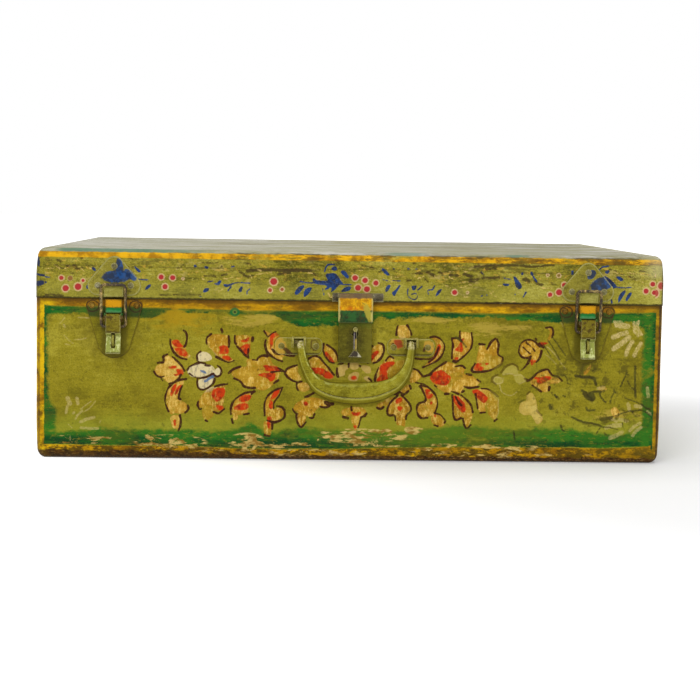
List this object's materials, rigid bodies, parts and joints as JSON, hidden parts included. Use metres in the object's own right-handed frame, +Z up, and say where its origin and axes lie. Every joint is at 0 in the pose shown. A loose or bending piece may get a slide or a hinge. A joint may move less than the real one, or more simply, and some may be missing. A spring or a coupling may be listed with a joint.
{
  "type": "small tin trunk",
  "caption": "Flat rectangular sheet-metal trunk with a hinged lid, draw latches, a hasp with a lock, and a drop handle on the front, painted with flowers inside a gold and green border.",
  "frame": {"origin": "centre of the flat underside that the trunk rests on", "axes": "+X to the right along the front, front faces -Y, +Z up"},
  "size_m": [0.5104, 0.3473, 0.171],
  "materials": {
    "painted_body": "aged olive green enamel with painted borders and flowers, worn at edges",
    "painted_lid": "aged olive green enamel, pale worn top, rubbed edges",
    "painted_fitting": "overpainted steel fitting, paint rubbed on high spots",
    "worn_fitting": "dark worn steel with paint left in recesses",
    "bare_steel": "dull oxidised steel"
  },
  "bodies": {
    "body": {"body_wrap": "painted_body", "body_end_left": "painted_body", "body_end_right": "painted_body", "body_rim": "painted_body", "body_rim_wire": "bare_steel", "hinge_body_rivets": "bare_steel", "latch_base_rivets": "worn_fitting", "handle_rivets": "worn_fitting", "handle_pins": "bare_steel", "handle_bracket_left": "painted_fitting", "handle_bracket_right": "painted_fitting", "lock_case": "painted_fitting", "lock_spring": "bare_steel", "lock_key_post": "bare_steel", "keyhole_rivet": "worn_fitting", "hinge_left_body_leaf": "bare_steel", "hinge_right_body_leaf": "bare_steel", "hinge_left_pin": "bare_steel", "hinge_right_pin": "bare_steel", "latch_left_base": "painted_fitting", "latch_right_base": "painted_fitting", "latch_left_staple": "worn_fitting", "latch_right_staple": "worn_fitting", "latch_left_pin": "bare_steel", "latch_right_pin": "bare_steel"},
    "lid": {"lid_wrap": "painted_lid", "lid_end_left": "painted_lid", "lid_end_right": "painted_lid", "hinge_lid_rivets": "bare_steel", "hinge_left_lid_leaf": "bare_steel", "hinge_right_lid_leaf": "bare_steel", "catch_rivets": "worn_fitting", "latch_left_catch": "painted_fitting", "latch_right_catch": "painted_fitting", "latch_left_hook": "painted_fitting", "latch_right_hook": "painted_fitting", "hasp_leaf": "worn_fitting", "hasp_pin": "bare_steel"},
    "left_lever": {"latch_left_lever": "painted_fitting"},
    "right_lever": {"latch_right_lever": "painted_fitting"},
    "left_bail": {"latch_left_bail": "worn_fitting"},
    "right_bail": {"latch_right_bail": "worn_fitting"},
    "hasp": {"hasp_strap": "painted_fitting"},
    "handle": {"handle": "painted_fitting"},
    "bolt": {"lock_bolt": "bare_steel"},
    "keyhole_cover": {"keyhole_cover": "worn_fitting"}
  },
  "joints": [
    {"name": "lid_hinge", "type": "hinge", "parent": "body", "child": "lid", "pos_m": [0, 0.1692, 0.1305], "axis": [-1, 0, 0], "range_deg": [0, 180]},
    {"name": "hasp_hinge", "type": "hinge", "parent": "lid", "child": "hasp", "pos_m": [0.0027, -0.1696, 0.1356], "axis": [-1, 0, 0], "range_deg": [0, 165]},
    {"name": "handle_swing", "type": "hinge", "parent": "body", "child": "handle", "pos_m": [0.0027, -0.1694, 0.0976], "axis": [-1, 0, 0], "range_deg": [0, 90]},
    {"name": "bolt_slide", "type": "slide", "parent": "body", "child": "bolt", "axis": [1, 0, 0], "range_m": [0, 0.005]},
    {"name": "cover_swing", "type": "hinge", "parent": "body", "child": "keyhole_cover", "pos_m": [0.0027, -0.1702, 0.1086], "axis": [0, 1, 0], "range_deg": [-70, 70]},
    {"name": "left_lever", "type": "hinge", "parent": "body", "child": "left_lever", "pos_m": [-0.1915, -0.1712, 0.116], "axis": [-1, 0, 0], "range_deg": [0, 135]},
    {"name": "left_bail", "type": "hinge", "parent": "left_lever", "child": "left_bail", "pos_m": [-0.1915, -0.1703, 0.1085], "axis": [-1, 0, 0], "range_deg": [-165, 0]},
    {"name": "right_lever", "type": "hinge", "parent": "body", "child": "right_lever", "pos_m": [0.1915, -0.1712, 0.116], "axis": [-1, 0, 0], "range_deg": [0, 135]},
    {"name": "right_bail", "type": "hinge", "parent": "right_lever", "child": "right_bail", "pos_m": [0.1915, -0.1703, 0.1085], "axis": [-1, 0, 0], "range_deg": [-165, 0]}
  ],
  "couplings": [
    {"joint": "left_bail", "follows": "left_lever", "ratio": -1},
    {"joint": "right_bail", "follows": "right_lever", "ratio": -1}
  ]
}
